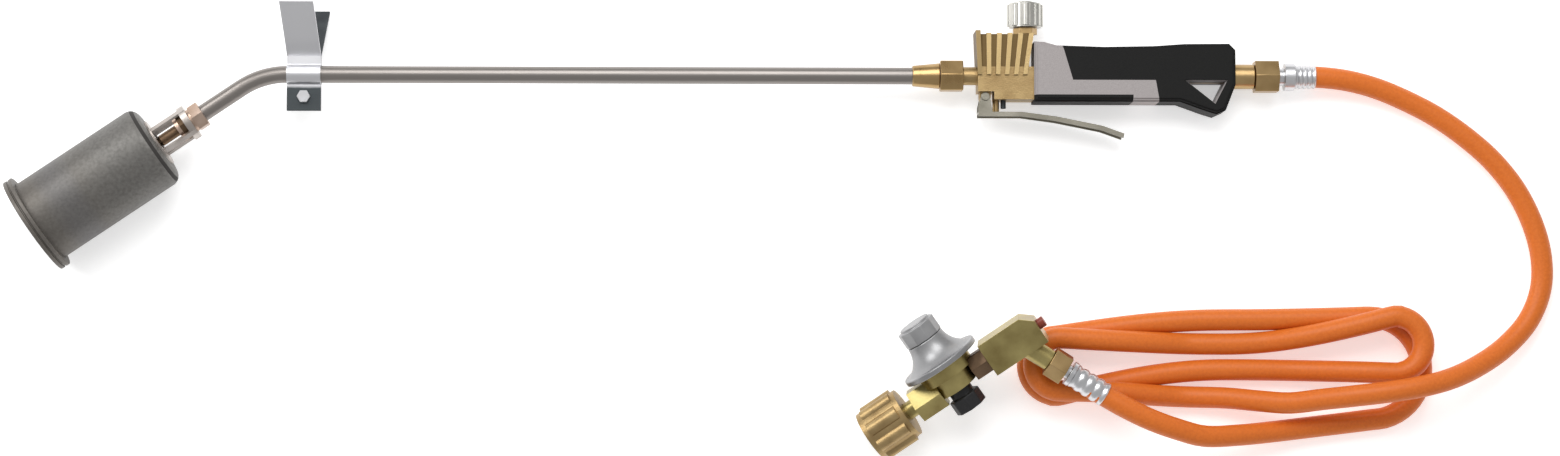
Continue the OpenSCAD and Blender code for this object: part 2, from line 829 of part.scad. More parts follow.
module hose_coil() {
    color("darkorange") translate([hank_at[0], hank_at[1], 0]) linear_extrude(hank_h) {
        for (side = [-1, 1])
            translate([side * hank_half, 0]) circle(hank_turn_r + hose_r);
        square([2 * hank_half, 2 * (hank_turn_r + hose_r)], center = true);
    }
}

module hose_end() {
    color("darkorange") swept_tube(end_route, hose_r, hose_sides);
}

module reg_ferrule() {
    color("silver") on_outlet() pipe_x(ferrule_r, hose_r, reg_ring_x + seat_gap, reg_ferrule_end);
}

module reg_hose_tail() {
    color("silver") on_outlet() difference() {
        union() {
            bar_x(6.5, reg_tail_x + seat_gap, reg_tail_x + 2.2);
            bar_x(5.5, reg_tail_x + 1, reg_ring_x);
            bar_x(9.5, reg_ring_x - 3, reg_ring_x);
            bar_x(4.5, reg_ring_x - 1, reg_ferrule_end - 8);
        }
        bar_x(3, reg_tail_x - 1, reg_ferrule_end);
    }
}

module reg_hose_nut() {
    lip_x = reg_tail_x + 2.5;
    color("goldenrod") on_outlet() difference() {
        hex_x(nut_af - 1, reg_nut_x, reg_nut_x + 13.7);
        bar_x(6.5 + turn_gap, reg_nut_x - 1, lip_x);
        bar_x(5.5 + turn_gap, reg_nut_x, reg_nut_x + 15);
    }
}

// ---------------------------------------------------------------- hose safety valve

module safety_block() {
    color("darkkhaki") union() {
        on_regulator() difference() {
            translate([block_x, -13, -block_half]) cube([block_len, 26, 2 * block_half]);
            translate([button_x - 9, 13, -block_half - 1]) rotate(-40) cube([30, 20, 2 * block_half + 2]);
            bar_x(chamber_r + seat_gap, block_x - 1, button_x - 12);
            bar_x(4 + run_gap, button_x - 13, button_x + 1);
        }
        on_outlet() difference() {
            union() {
                bar_x(8, 9, reg_nut_x - 0.3);
                bar_x(6.5, reg_nut_x - 1, reg_tail_x);
            }
            bar_x(3, 8, reg_tail_x + 1);
        }
    }
}

module reset_button() {
    color("firebrick") on_regulator() {
        bar_x(chamber_r - 0.3, button_x - 15.5, button_x - 12.3);
        bar_x(4, button_x - 13, button_x + 5);
    }
}

module reset_spring() {
    start = block_x + 17.2;
    color("lightsteelblue") on_regulator() translate([start, 0, 0]) rotate([0, 90, 0])
        coil_spring(3.8, 0.5, button_x - 15.6 - start, 6);
}

module outlet_gland() {
    color("sienna") on_regulator() difference() {
        union() {
            hex_x(18, 74, block_x - seat_gap);
            bar_x(chamber_r, block_x - 1, block_x + 17);
        }
        bar_x(2.5, 73, block_x + 18);
    }
}

// ---------------------------------------------------------------- regulator

module regulator_body() {
    inlet_x = 24;
    color("goldenrod") on_regulator() difference() {
        union() {
            hex_x(24, inlet_x, 46);
            turned_y(bonnet_x) {
                translate([0, -6]) square([15.5, 13]);
                translate([0, 6]) square([21, 9]);
            }
        }
        bar_x(6.6 + seat_gap, inlet_x - 1, inlet_x + 8 + seat_gap);
        bar_x(3, inlet_x, bonnet_x);
        bar_x(2.5, bonnet_x, 75);
        bar_y(17, bonnet_x, 11, 16);
        bar_y(3, bonnet_x, -7, 12);
        hex_seat();
    }
}

// Space in the regulator body for the hexagonal end of the outlet gland.
module hex_seat() {
    translate([74 - seat_gap, -9.5, -11]) cube([10, 19, 22]);
}

module diaphragm() {
    color("black") on_regulator() bar_y(20, bonnet_x, 15 + seat_gap, 15.8 - seat_gap);
}

module bonnet() {
    top_y = 38;
    color("gray") on_regulator() turned_y(bonnet_x) difference() {
        union() {
            translate([0, 15.8]) square([bonnet_r, 4.2]);
            difference() {
                translate([0, 19]) square([bonnet_r - 2, top_y - 19]);
                translate([bonnet_r + 4, top_y]) circle(18.5 + 1);
            }
        }
        translate([0, 15]) square([11.5, 19]);
        square([3.5 + run_gap, 50]);
        translate([-50, 0]) square([50, 60]);
    }
}

module regulator_spring() {
    color("lightsteelblue") on_regulator() translate([bonnet_x, 15.9, 0]) rotate([-90, 0, 0])
        coil_spring(8.5, 1.1, 11.8, 4);
}

module adjusting_screw() {
    color("silver") on_regulator() {
        bar_y(3.5, bonnet_x, 29, 48);
        bar_y(10, bonnet_x, 28, 30);
    }
}

module adjusting_knob() {
    facets = 10;
    color("lightgray") on_regulator() translate([bonnet_x, 38.3, 0]) rotate([-90, 0, 0]) difference() {
        union() {
            cylinder(r = adjust_r, h = 12, $fn = facets);
            translate([0, 0, 12]) cylinder(r = adjust_r - 3, h = 2);
        }
        translate([0, 0, -1]) cylinder(r = 3.5, h = 10.7);
    }
}

module relief_cap() {
    color("black") on_regulator() {
        bar_y(9, bonnet_x, -13, -6 - seat_gap);
        translate([bonnet_x, -23.5, 0]) rotate([-90, 0, 0]) cylinder(r = 12.5, h = 11, $fn = 8);
    }
}

// ---------------------------------------------------------------- cylinder connection

module inlet_nipple() {
    color("goldenrod") on_regulator() difference() {
        union() {
            bar_x(inlet_r - 0.7, -1, 2.7);
            bar_x(6.6, 2, 32);
        }
        bar_x(2.5, -2, 33);
    }
}

module inlet_seal() {
    color("black") on_regulator() pipe_x(8, 4, -1.9, -1 - seat_gap);
}

module cylinder_nut() {
    lobes = 8;
    round_r = 5.5;
    half = wheel_len / 2;
    color("darkkhaki") on_regulator() difference() {
        union() {
            bar_x(lobe_r - 3, -half, half);
            for (i = [0:lobes - 1])
                rotate([360 * (i + 0.5) / lobes, 0, 0]) translate([-half + 4, lobe_r - round_r, 0])
                    rotate([0, 90, 0]) cylinder(r = round_r, h = wheel_len - 8);
        }
        bar_x(inlet_r, -half - 1, -2);
        bar_x(inlet_r - 0.3, -3, 3);
        bar_x(6.6 + turn_gap, 2, half + 1);
    }
}

burner_cup();
mouth_rim();
flame_holder();
burner_cage();
cage_nut();
jet_holder();
jet();
neck_tube();
stand_plate_near();
stand_plate_far();
stand_bolt();
stand_nut();
cone_sleeve();
tube_collar();
union_nut();
valve_body();
ribbed_housing();
stem_gland();
stem_seal();
needle_stem();
flow_knob();
knob_cap();
lever();
lever_pin();
lever_stop();
push_pin();
poppet_seal();
valve_spring();
handle_shell_near();
handle_shell_far();
grip();
underside_strip();
handle_screws();
gas_tube();
rear_nipple();
hose_nut();
hose_tail();
hose_ferrule();
hose_run();
hose_coil();
hose_end();
reg_ferrule();
reg_hose_tail();
reg_hose_nut();
safety_block();
reset_button();
reset_spring();
outlet_gland();
regulator_body();
diaphragm();
bonnet();
regulator_spring();
adjusting_screw();
adjusting_knob();
relief_cap();
inlet_nipple();
inlet_seal();
cylinder_nut();
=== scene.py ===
# %% [markdown]
# # A propane torch, its hose and its regulator
#
# The construction model gives every piece its place and size. This notebook gives each piece its
# looks: rounded edges, metals, rubber and plastic, and a hose that is laid in a hank.
#
# The first step loads the construction model. Nothing in it is moved: each piece that needs a
# finer shape is made again as a new mesh in the same place.

# %% Load the construction model
import json
from math import cos, pi, radians, sin, sqrt

import bmesh
import bpy
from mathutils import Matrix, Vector

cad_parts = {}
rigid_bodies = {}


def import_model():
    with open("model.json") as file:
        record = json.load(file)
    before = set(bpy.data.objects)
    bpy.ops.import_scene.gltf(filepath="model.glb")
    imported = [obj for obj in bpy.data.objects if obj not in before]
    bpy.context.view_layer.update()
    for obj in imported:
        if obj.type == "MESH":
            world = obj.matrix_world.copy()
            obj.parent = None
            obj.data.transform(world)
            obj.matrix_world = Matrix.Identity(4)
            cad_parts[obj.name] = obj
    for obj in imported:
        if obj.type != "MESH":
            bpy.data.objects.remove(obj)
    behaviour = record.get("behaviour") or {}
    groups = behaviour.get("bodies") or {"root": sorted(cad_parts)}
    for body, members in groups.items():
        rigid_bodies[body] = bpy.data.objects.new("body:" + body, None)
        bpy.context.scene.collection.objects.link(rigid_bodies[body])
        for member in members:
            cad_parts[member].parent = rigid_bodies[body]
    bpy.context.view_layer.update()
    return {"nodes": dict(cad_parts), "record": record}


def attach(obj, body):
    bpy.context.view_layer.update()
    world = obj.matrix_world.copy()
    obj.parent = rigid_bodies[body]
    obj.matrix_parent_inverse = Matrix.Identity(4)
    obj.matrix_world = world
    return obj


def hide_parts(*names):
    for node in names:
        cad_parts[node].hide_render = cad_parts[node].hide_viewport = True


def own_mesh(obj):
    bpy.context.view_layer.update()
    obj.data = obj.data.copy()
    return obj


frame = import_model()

record = frame["record"]
print("pieces in the construction model:", len(frame["nodes"]))

# %% [markdown]
# ## Directions
#
# The torch lies at a small angle, and the regulator at a larger one, so each has directions of its
# own. The joints of the construction model already state them: a nut turns about the line that it
# sits on.

# %% Find the directions of the torch and the regulator
joints = {joint["name"]: joint for joint in record["behaviour"]["joints"]}


def joint_line(name):
    """The point and the direction that a joint turns about."""
    return Vector(joints[name]["pos_m"]), Vector(joints[name]["axis"]).normalized()


UNION_TO_VALVE = 0.020
union_at, torch_x = joint_line("union_turn")
torch_y = Vector((0, 1, 0))
torch_z = torch_x.cross(torch_y)
torch_start = union_at + UNION_TO_VALVE * torch_x


def on_torch(x, y=0.0, z=0.0):
    """A point measured from the front of the valve, along the torch."""
    return torch_start + x * torch_x + y * torch_y + z * torch_z


BEND = radians(34)
NECK_LENGTH = 0.5285
burner_way = -cos(BEND) * torch_x - sin(BEND) * torch_y
burner_start = on_torch(-NECK_LENGTH)
inlet_at, inlet_way = joint_line("cylinder_nut_turn")
outlet_at, outlet_way = joint_line("regulator_nut_turn")
print("burner points along", [round(v, 3) for v in burner_way])

# %% [markdown]
# ## Camera
#
# The camera hangs almost straight above the torch and leans a little towards it, so that the near
# sides of the pieces show.

# %% Set the camera
CAMERA_TARGET = Vector((0.0865, -0.0685, 0.020))
CAMERA_DISTANCE = 2.700
CAMERA_HEIGHT = radians(86)
LENS = 84.2

camera_data = bpy.data.cameras.new("camera")
camera_data.lens = LENS
camera_data.sensor_width = 36
camera = bpy.data.objects.new("camera", camera_data)
camera.location = CAMERA_TARGET + CAMERA_DISTANCE * Vector((0, -cos(CAMERA_HEIGHT), sin(CAMERA_HEIGHT)))
camera.rotation_euler = (pi / 2 - CAMERA_HEIGHT, 0, 0)
bpy.context.scene.collection.objects.link(camera)
bpy.context.scene.camera = camera
bpy.context.scene.view_settings.view_transform = "Standard"
print("camera stands at", [round(v, 3) for v in camera.location])

# %% [markdown]
# ## Hose
#
# The hose leaves the torch in one wide bend, climbs over the right folds of its own hank, lies in
# two layers of long turns, and comes up over the left folds to the regulator. The free parts at
# both ends follow listed points. The turns between them are made by loops.

# %% Place the free parts of the hose
HOSE_R = 0.008
HOSE_D = 2 * HOSE_R
LOW_Z = HOSE_R
HIGH_Z = HOSE_R + HOSE_D
HANK_MIDDLE_X = 0.416
STEPS = 13

leaving_torch = [
    (0.473, 0.0445, 0.0152), (0.490, 0.044, 0.0147), (0.510, 0.0415, 0.0132), (0.531, 0.036, 0.011),
    (0.553, 0.027, 0.009), (0.575, 0.0155, 0.008), (0.597, 0.0, 0.008), (0.617, -0.018, 0.008),
    (0.634, -0.040, 0.008), (0.646, -0.065, 0.008), (0.652, -0.090, 0.008), (0.651, -0.114, 0.0083),
    (0.641, -0.137, 0.0105), (0.623, -0.156, 0.016), (0.602, -0.170, 0.0245), (0.580, -0.180, 0.034),
    (0.558, -0.186, 0.040), (0.534, -0.190, 0.0415), (0.509, -0.193, 0.0395), (0.485, -0.1955, 0.0335),
    (0.462, -0.198, 0.026), (0.441, -0.1965, 0.019), (0.416, -0.194, 0.012),
]
reaching_regulator = [
    (0.500, -0.213, 0.008), (0.475, -0.216, 0.0093), (0.450, -0.219, 0.0135), (0.425, -0.2215, 0.021),
    (0.399, -0.2225, 0.029), (0.378, -0.2175, 0.035), (0.358, -0.2105, 0.039), (0.340, -0.202, 0.041),
    (0.324, -0.193, 0.0413), (0.3115, -0.1852, 0.0422),
]
print("points set by hand:", len(leaving_torch) + len(reaching_regulator))

# %% [markdown]
# A hank is made of runs and folds. A fold is half a circle. A run joins two folds and swells towards
# its middle, so that the runs lie side by side there. A turn that lies on another one sinks down
# beside it, as one round bar does beside another, and its height follows from how far apart they are.

# %% Describe the runs and folds


class Run:
    """A straight run of the hank, from a left fold to a right fold, through a middle point."""

    def __init__(self, left, middle_y, right):
        self.left = left
        self.middle_y = middle_y
        self.right = right

    def across(self, x):
        """How far across the hank the run lies: it swells softly towards the middle."""
        end_x, end_y = self.left if x < HANK_MIDDLE_X else self.right
        share = cos(pi / 2 * min(1.0, (x - HANK_MIDDLE_X) / (end_x - HANK_MIDDLE_X)))
        return end_y + (self.middle_y - end_y) * share

    def points(self, height, leftward=False):
        """Points between the two folds, at a height that depends on how far along they are."""
        points = []
        for step in range(1, STEPS):
            x = self.left[0] + (self.right[0] - self.left[0]) * step / STEPS
            points.append((x, self.across(x), height(x)))
        return points[::-1] if leftward else points


def resting(apart):
    """Height of a turn that rests on another one lying this far beside it."""
    return HOSE_R + sqrt(max(0.0, HOSE_D ** 2 - apart ** 2))


def fold(centre, radius, z, first, last):
    """A half circle of the hank, from one angle to another."""
    points = []
    for step in range(STEPS):
        angle = radians(first + (last - first) * step / (STEPS - 1))
        points.append((centre[0] + radius * cos(angle), centre[1] + radius * sin(angle), z))
    return points


print("a turn right on top of another one lies", resting(0.0), "m high")

# %% [markdown]
# The hose comes in along the upper layer, goes round the upper left fold, crosses to the right and
# comes back along the inner run. The lower left fold turns it to the right again, and the lower
# right fold sends it on to the regulator.

# %% Lay the hank
first_top = Run((0.292, -0.148), -0.136, (0.524, -0.134))
second_top = Run((0.293, -0.150), -0.154, (0.540, -0.134))
inner_run = Run((0.292, -0.192), -0.173, (0.540, -0.176))


def over_first_top(x):
    """The second run rests on the first one wherever they come close."""
    return resting(second_top.across(x) - first_top.across(x))


def inner_height(x):
    """The inner run climbs to the upper fold at its right end."""
    share = min(1.0, max(0.0, (x - 0.455) / (0.540 - 0.455)))
    return LOW_Z + HOSE_D * (1 - cos(pi * share)) / 2


last_upper = []
for x, y in ((0.385, -0.1930), (0.362, -0.1920), (0.340, -0.1905), (0.318, -0.1895)):
    last_upper.append((x, y, resting(y - inner_run.across(x))))

hank = [
    *last_upper,
    *fold((0.293, -0.1695), 0.0195, HIGH_Z, 270, 90),
    *second_top.points(over_first_top),
    *fold((0.540, -0.155), 0.021, HIGH_Z, 90, -90),
    *inner_run.points(inner_height, leftward=True),
    *fold((0.292, -0.170), 0.022, LOW_Z, 270, 90),
    *first_top.points(lambda x: LOW_Z),
    *fold((0.524, -0.172), 0.038, LOW_Z, 90, -90),
]
hose_points = [Vector(p) for p in (*leaving_torch, *hank, *reaching_regulator)]
print("hose follows", len(hose_points), "points")

# %% [markdown]
# A tube bent through these points would show corners, so a Catmull-Rom curve fills in the line. It
# passes through every point and keeps the bend soft between them.

# %% Make the hose


def flowing_line(points, gap):
    """Fills in a line of points with a Catmull-Rom curve."""
    ends = [2 * points[0] - points[1], *points, 2 * points[-1] - points[-2]]
    line = []
    for a, b, c, d in zip(ends, ends[1:], ends[2:], ends[3:]):
        count = max(2, round((c - b).length / gap))
        for step in range(count):
            t = step / count
            line.append(0.5 * (2 * b + (c - a) * t + (2 * a - 5 * b + 4 * c - d) * t ** 2
                               + (3 * b - a - 3 * c + d) * t ** 3))
    line.append(points[-1])
    for point in line:
        point.z = max(point.z, HOSE_R)
    return line


hose_line = flowing_line(hose_points, gap=0.005)
hose_length = sum((b - a).length for a, b in zip(hose_line, hose_line[1:]))

hose_curve = bpy.data.curves.new("hose", "CURVE")
hose_curve.dimensions = "3D"
hose_curve.bevel_depth = HOSE_R
hose_curve.bevel_resolution = 7
hose_curve.use_fill_caps = True
hose_spline = hose_curve.splines.new("POLY")
hose_spline.points.add(len(hose_line) - 1)
for point, place in zip(hose_spline.points, hose_line):
    point.co = (*place, 1)
hose = bpy.data.objects.new("hose", hose_curve)
bpy.context.scene.collection.objects.link(hose)
print("hose is", round(hose_length, 3), "m long")

# %% [markdown]
# ## A small language for materials
#
# `Wire` stands for one output of a shader node. Adding or multiplying wires makes the math nodes,
# so a pattern reads like the sum that it is.

# %% Define the wires


class Wire:
    """One output of a shader node, which takes part in sums."""

    def __init__(self, tree, socket):
        self.tree = tree
        self.socket = socket

    def calculate(self, operation, first, second=None):
        """A math node with wires or plain numbers going in."""
        node = self.tree.nodes.new("ShaderNodeMath")
        node.operation = operation
        for entry, value in zip(node.inputs, (first, second)):
            if isinstance(value, Wire):
                self.tree.links.new(value.socket, entry)
            elif value is not None:
                entry.default_value = value
        return Wire(self.tree, node.outputs[0])

    def __add__(self, other):
        return self.calculate("ADD", self, other)

    def __radd__(self, other):
        return self.calculate("ADD", other, self)

    def __sub__(self, other):
        return self.calculate("SUBTRACT", self, other)

    def __rsub__(self, other):
        return self.calculate("SUBTRACT", other, self)

    def __mul__(self, other):
        return self.calculate("MULTIPLY", self, other)

    def __rmul__(self, other):
        return self.calculate("MULTIPLY", other, self)

    def __truediv__(self, other):
        return self.calculate("DIVIDE", self, other)

    def __rtruediv__(self, other):
        return self.calculate("DIVIDE", other, self)

    def __pow__(self, other):
        return self.calculate("POWER", self, other)

    def __neg__(self):
        return self.calculate("MULTIPLY", self, -1)

    def above(self, limit):
        """1 where the wire is above the limit, and 0 elsewhere."""
        return self.calculate("GREATER_THAN", self, limit)

    def kept(self):
        """The wire, held between 0 and 1."""
        return self.calculate("MAXIMUM", self.calculate("MINIMUM", self, 1), 0)


print("wires can be added, multiplied and compared")

# %% [markdown]
# `Finish` is one material with one surface shader. Its `node` method makes any other node, and its
# shorter methods make the ones that the patterns need most.

# %% Define the finishes


class Finish:
    """One material with one surface shader."""

    def __init__(self, name, color, roughness, metallic=0.0, **fixed):
        self.material = bpy.data.materials.new(name)
        self.material.use_nodes = True
        self.material.diffuse_color = (*color, 1)
        self.tree = self.material.node_tree
        self.shader = next(n for n in self.tree.nodes if n.type == "BSDF_PRINCIPLED")
        self.give("Base Color", color)
        self.give("Roughness", roughness)
        self.give("Metallic", metallic)
        for key, value in fixed.items():
            self.give(key.replace("_", " "), value)
        self.place = self.node("ShaderNodeTexCoord", "Object")

    def give(self, name, value):
        """Sets or links an input of the surface shader."""
        self.feed(self.shader.inputs[name], value)

    def feed(self, entry, value):
        """Sets or links an input of any node."""
        if isinstance(value, Wire):
            self.tree.links.new(value.socket, entry)
        elif entry.type == "RGBA":
            entry.default_value = (*value, 1)
        else:
            entry.default_value = value

    def node(self, kind, output=0, settings=None, **inputs):
        """Any other node: its settings, then what goes into it."""
        node = self.tree.nodes.new(kind)
        for key, value in (settings or {}).items():
            setattr(node, key, value)
        for key, value in inputs.items():
            self.feed(node.inputs[key.replace("_", " ")], value)
        return Wire(self.tree, node.outputs[output])

    def vector(self, operation, first, second, output="Vector"):
        """A vector math node."""
        node = self.tree.nodes.new("ShaderNodeVectorMath")
        node.operation = operation
        self.feed(node.inputs[0], first)
        if second is not None:
            self.feed(node.inputs[1], second)
        return Wire(self.tree, node.outputs[output])

    def mix(self, share, first, second):
        """A colour between two others."""
        node = self.tree.nodes.new("ShaderNodeMix")
        node.data_type = "RGBA"
        self.feed(node.inputs[0], share)
        self.feed(node.inputs[6], first)
        self.feed(node.inputs[7], second)
        return Wire(self.tree, node.outputs[2])

    def noise(self, scale, detail=3.0, stretch=(1, 1, 1)):
        """Soft blotches; stretch draws them out along a direction."""
        place = self.vector("MULTIPLY", self.place, stretch)
        return self.node("ShaderNodeTexNoise", 0, None, Vector=place, Scale=scale, Detail=detail)

    def bump(self, height, strength, distance=0.0003):
        """Raises and lowers the surface for the light."""
        self.give("Normal", self.node("ShaderNodeBump", 0, None, Strength=strength, Distance=distance,
                                      Height=height))


finishes = {}
print("ready to mix finishes")

# %% [markdown]
# ## Metals
#
# Every metal gets broad blotches, where it has dulled, and a fine grain, which breaks up its
# reflections.

# %% Mix the brasses and plated metals


def worn_metal(name, color, dull_and_painted_shade, roughness, grain=0.12, blotch=45, metallic=1.0):
    """A metal with duller blotches and a fine grain."""
    finish = Finish(name, color, roughness, metallic)
    cloud = finish.noise(blotch, 4)
    speck = finish.noise(900, 2)
    finish.give("Base Color", finish.mix((cloud * 2.4 - 0.7).kept(), dull_and_painted_shade, color))
    finish.give("Roughness", roughness - 0.09 + cloud * 0.18)
    finish.bump(speck, grain)
    finishes[name] = finish.material


worn_metal("machined_brass", (0.50, 0.35, 0.17), (0.34, 0.22, 0.095), 0.30)
worn_metal("cast_brass", (0.46, 0.33, 0.16), (0.30, 0.20, 0.09), 0.42, 0.5, 70)
worn_metal("green_brass", (0.45, 0.375, 0.155), (0.25, 0.19, 0.07), 0.34, 0.25)
worn_metal("pale_copper", (0.60, 0.47, 0.39), (0.38, 0.26, 0.19), 0.34)
worn_metal("pale_steel", (0.56, 0.52, 0.49), (0.32, 0.28, 0.25), 0.36)
worn_metal("tarnished_brass", (0.20, 0.13, 0.08), (0.10, 0.065, 0.04), 0.45, 0.3)
worn_metal("satin_nickel", (0.60, 0.59, 0.55), (0.46, 0.45, 0.41), 0.27)
worn_metal("lever_steel", (0.36, 0.34, 0.285), (0.25, 0.235, 0.19), 0.36)
worn_metal("bright_zinc", (0.68, 0.68, 0.70), (0.55, 0.55, 0.56), 0.32)
# Painted shade: this near-black steel also stands in for the shade on the far stand plate.
worn_metal("black_oxide_and_painted_shade", (0.10, 0.11, 0.115), (0.05, 0.055, 0.06), 0.5, 0.3)
worn_metal("drawn_wire", (0.50, 0.50, 0.52), (0.36, 0.36, 0.38), 0.35)
print("metals mixed:", len(finishes))

# %% [markdown]
# The burner and the neck also carry the colours that heat leaves: straw, brown and a little blue,
# strongest at the mouth. Inside the cup, soot takes over. The cup's own line tells how far along it
# a point lies, and how far from the middle.

# %% Mix the heated steels
HEAT_STARTS = 0.120
HEAT_GROWS_OVER = 0.085
BLUE_RING_AT = 0.168
BLUE_RING_WIDTH = 0.016
CUP_BORE_R = 0.0312
CUP_FLOOR_AT = 0.0935


def heated_steel():
    """Satin steel that the flame has coloured, with soot inside the cup."""
    finish = Finish("heated_steel", (0.16, 0.155, 0.145), 0.5, 0.6)
    from_start = finish.vector("SUBTRACT", finish.place, tuple(burner_start))
    along = finish.vector("DOT_PRODUCT", from_start, tuple(burner_way), "Value")
    whole = finish.vector("LENGTH", from_start, None, "Value")
    off_axis = (whole * whole - along * along) ** 0.5
    cloud = finish.noise(28, 5)
    heat = ((along - HEAT_STARTS) / HEAT_GROWS_OVER + (cloud - 0.5) * 0.9).kept()
    from_ring = (along - BLUE_RING_AT) / BLUE_RING_WIDTH
    blue = (1 - from_ring * from_ring).kept() * cloud
    speck = finish.noise(420, 3)
    plain = finish.mix((speck * 2.4 - 0.7).kept(), (0.120, 0.115, 0.107), (0.172, 0.166, 0.156))
    color = finish.mix(heat * 0.55, plain, (0.120, 0.102, 0.084))
    color = finish.mix(blue * 0.30, color, (0.10, 0.115, 0.16))
    inside = (1 - off_axis.above(CUP_BORE_R)) * along.above(CUP_FLOOR_AT)
    finish.give("Base Color", finish.mix(inside, color, (0.030, 0.027, 0.025)))
    finish.give("Metallic", 0.6 - inside * 0.5)
    finish.give("Roughness", 0.44 + cloud * 0.16 + inside * 0.3)
    finish.bump(finish.noise(700, 3), 0.18)
    finishes["heated_steel"] = finish.material


def neck_steel():
    """Drawn tube, brushed along its length and tinted near the burner."""
    finish = Finish("neck_steel", (0.26, 0.235, 0.215), 0.34, 0.9)
    along = finish.vector("DOT_PRODUCT", finish.place, tuple(torch_x), "Value")
    cloud = finish.noise(18, 4)
    near = ((-along - 0.22) / 0.16 + (cloud - 0.5) * 0.8).kept()
    finish.give("Base Color", finish.mix(near * 0.35, (0.250, 0.230, 0.215), (0.215, 0.185, 0.165)))
    finish.give("Roughness", 0.29 + cloud * 0.14)
    finish.bump(finish.noise(400, 3, (0.06, 1, 1)), 0.10)
    finishes["neck_steel"] = finish.material


heated_steel()
neck_steel()
print("metals mixed with the heated ones:", len(finishes))

# %% [markdown]
# Two more metals carry painted shade in places of their own: the grooves and the first rib of the
# ribbed housing are painted darker, and so is the tab of the stand under the tube. Both places are
# found by their distance from the torch's own line.

# %% Mix the ribbed brass and the zinc of the stand
GROOVE_FLOOR = 0.0136
FIRST_RIB_END = 0.0034
TAB_BELOW = 0.0085


def ribbed_brass():
    """Cast brass with painted shade in its grooves and on its first rib."""
    finish = Finish("ribbed_brass", (0.50, 0.36, 0.175), 0.36, 1.0)
    from_start = finish.vector("SUBTRACT", finish.place, tuple(torch_start))
    along = finish.vector("DOT_PRODUCT", from_start, tuple(torch_x), "Value")
    up = finish.vector("DOT_PRODUCT", from_start, tuple(torch_z), "Value")
    cloud = finish.noise(70, 4)
    groove = ((GROOVE_FLOOR - (up * up) ** 0.5) / 0.0012 + (cloud - 0.5) * 0.3).kept()
    first_rib = 1 - along.above(FIRST_RIB_END)
    # Painted shade: the grooves and the first rib get a near-black brass where shade falls between the
    # ribs.
    dull_and_painted_shade = (groove * 0.88 + first_rib * 0.45).kept()
    finish.give("Base Color", finish.mix(dull_and_painted_shade, (0.56, 0.41, 0.20), (0.115, 0.072, 0.030)))
    finish.give("Roughness", 0.30 + cloud * 0.12 + groove * 0.15)
    finish.bump(finish.noise(900, 2), 0.35)
    finishes["ribbed_brass"] = finish.material


def stand_zinc():
    """Zinc plate on the leg, with painted shade on the tab under the tube."""
    finish = Finish("stand_zinc", (0.66, 0.66, 0.68), 0.34, 1.0)
    up = finish.vector("DOT_PRODUCT", finish.vector("SUBTRACT", finish.place, tuple(torch_start)),
                       tuple(torch_y), "Value")
    cloud = finish.noise(60, 4)
    # Painted shade: the tab under the tube is painted near-black, standing in for the shade and dark
    # reflection there.
    tab_painted_shade = ((-up - TAB_BELOW) / 0.002 + (cloud - 0.5)).kept()
    finish.give("Base Color", finish.mix(tab_painted_shade, (0.66, 0.66, 0.68), (0.075, 0.085, 0.09)))
    finish.give("Roughness", 0.28 + cloud * 0.12)
    finish.bump(finish.noise(900, 2), 0.12)
    finishes["stand_zinc"] = finish.material


ribbed_brass()
stand_zinc()
print("metals mixed in all:", len(finishes))

# %% [markdown]
# ## Rubber and plastic
#
# The shell is a grey plastic with small specks, the grip a soft black rubber, and the hose an orange
# rubber that is smooth with a faint drawn grain. They aren't metals, so their colour comes from
# within and the shine on top stays white.

# %% Mix the rubbers and plastics


def soft_finish(name, color, other, roughness, scale, strength, shine=0.4):
    """A plastic or rubber with small specks and a matching skin."""
    finish = Finish(name, color, roughness, 0.0, Specular_IOR_Level=shine)
    speck = finish.noise(scale, 2)
    broad = finish.noise(35, 3)
    finish.give("Base Color", finish.mix((speck * 2.2 - 0.6).kept(), other, color))
    finish.give("Roughness", roughness - 0.05 + broad * 0.1)
    finish.bump(speck, strength)
    finishes[name] = finish.material


soft_finish("grey_shell", (0.375, 0.345, 0.340), (0.300, 0.272, 0.270), 0.48, 1300, 0.25)
soft_finish("black_grip", (0.010, 0.010, 0.0095), (0.006, 0.006, 0.006), 0.60, 1500, 0.5, 0.18)
soft_finish("hose_rubber", (0.70, 0.168, 0.021), (0.62, 0.140, 0.017), 0.42, 500, 0.08, 0.30)
worn_metal("grey_paint", (0.36, 0.36, 0.365), (0.22, 0.22, 0.225), 0.36, 0.12, 40, 0.6)
soft_finish("red_button", (0.24, 0.045, 0.025), (0.20, 0.035, 0.020), 0.35, 400, 0.05)
soft_finish("seal_rubber", (0.02, 0.02, 0.02), (0.014, 0.014, 0.014), 0.55, 900, 0.2, 0.3)
soft_finish("black_cap", (0.016, 0.016, 0.017), (0.010, 0.010, 0.011), 0.45, 900, 0.15, 0.35)
hose.data.materials.append(finishes["hose_rubber"])
print("finishes ready:", ", ".join(sorted(finishes)))

# %% [markdown]
# ## Finishing the pieces
#
# `finish_piece` makes a new mesh from a piece of the construction model. It joins the loose
# triangles into whole faces, rounds the edges with a bevel, and lets the light run smoothly over
# curved faces. The new mesh moves with the same body, and stands for the old one.

# %% Define how a piece is finished
bodies = record["behaviour"]["bodies"]
body_of_node = {node: body for body, nodes in bodies.items() for node in nodes}
SHARP_ANGLE = radians(34)
FLAT_ANGLE = radians(0.5)
WELD_GAP = 3e-6
SLIVER = 2e-6


def add_piece(name, mesh, finish, node):
    """Puts a mesh in the scene with its finish, on the body of a construction node."""
    piece = bpy.data.objects.new(name, mesh)
    bpy.context.scene.collection.objects.link(piece)
    mesh.materials.append(finishes[finish])
    mesh.polygons.foreach_set("use_smooth", [True] * len(mesh.polygons))
    mesh.set_sharp_from_angle(angle=SHARP_ANGLE)
    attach(piece, body_of_node[node])
    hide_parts(node)
    return piece


